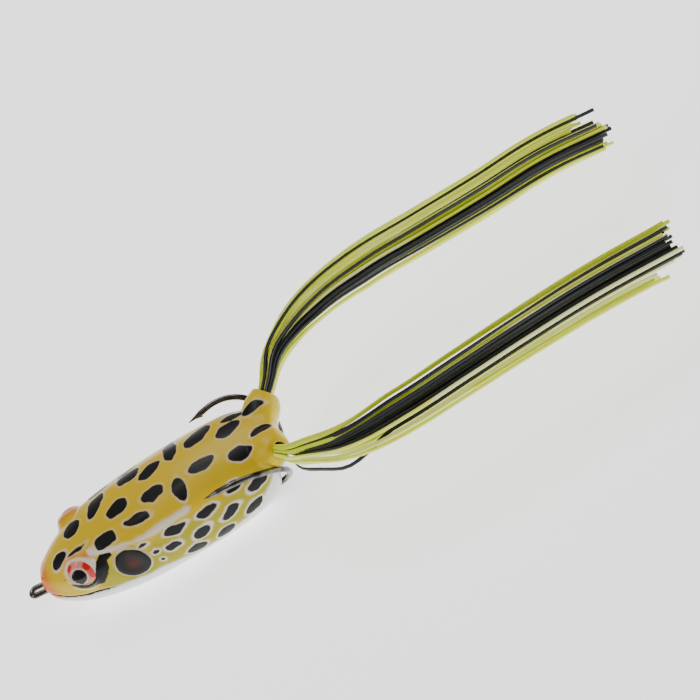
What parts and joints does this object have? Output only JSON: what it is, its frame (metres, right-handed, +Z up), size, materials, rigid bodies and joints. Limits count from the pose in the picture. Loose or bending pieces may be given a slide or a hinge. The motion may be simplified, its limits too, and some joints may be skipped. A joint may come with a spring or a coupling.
{
  "type": "hollow-body frog lure",
  "caption": "Hollow soft frog-shaped topwater fishing lure with a double hook cradling the body, a belly weight and two splayed rubber-strand legs.",
  "frame": {"origin": "centre of the flat belly face, on the line from nose to tail", "axes": "+X from the nose towards the leg tips, +Y towards the lure's right side, +Z up through the back"},
  "size_m": [0.1593, 0.0524, 0.0207],
  "materials": {
    "shell_vinyl": "soft glossy printed vinyl, yellow with black spots",
    "eye_resin": "clear-coated red eye with a black pupil",
    "hook_steel": "polished black nickel",
    "lead": "cast, dull grey",
    "collar_rubber": "matte",
    "chartreuse_rubber": "smooth, slightly shiny",
    "black_rubber": "smooth, slightly shiny"
  },
  "bodies": {
    "shell": {"body_shell": "shell_vinyl", "left_eye": "eye_resin", "right_eye": "eye_resin"},
    "hook": {"double_hook": "hook_steel", "keel_weight": "lead"},
    "left_leg": {"left_leg_collar": "collar_rubber", "left_leg_chartreuse_strands": "chartreuse_rubber", "left_leg_black_strands": "black_rubber"},
    "right_leg": {"right_leg_collar": "collar_rubber", "right_leg_chartreuse_strands": "chartreuse_rubber", "right_leg_black_strands": "black_rubber"}
  },
  "joints": [
    {"name": "hook_drop", "type": "hinge", "parent": "shell", "child": "hook", "pos_m": [-0.033, 0, 0.00824], "axis": [0, 1, 0], "range_deg": [0, 2], "stiffness_Nm_per_rad": 0.3, "springref_deg": -1.72},
    {"name": "left_leg_swing", "type": "hinge", "parent": "shell", "child": "left_leg", "pos_m": [0.02841, -0.00772, 0.01389], "axis": [0, 0, 1], "range_deg": [-10, 10], "stiffness_Nm_per_rad": 0.002},
    {"name": "right_leg_swing", "type": "hinge", "parent": "shell", "child": "right_leg", "pos_m": [0.02841, 0.00772, 0.01389], "axis": [0, 0, 1], "range_deg": [-10, 10], "stiffness_Nm_per_rad": 0.002}
  ]
}
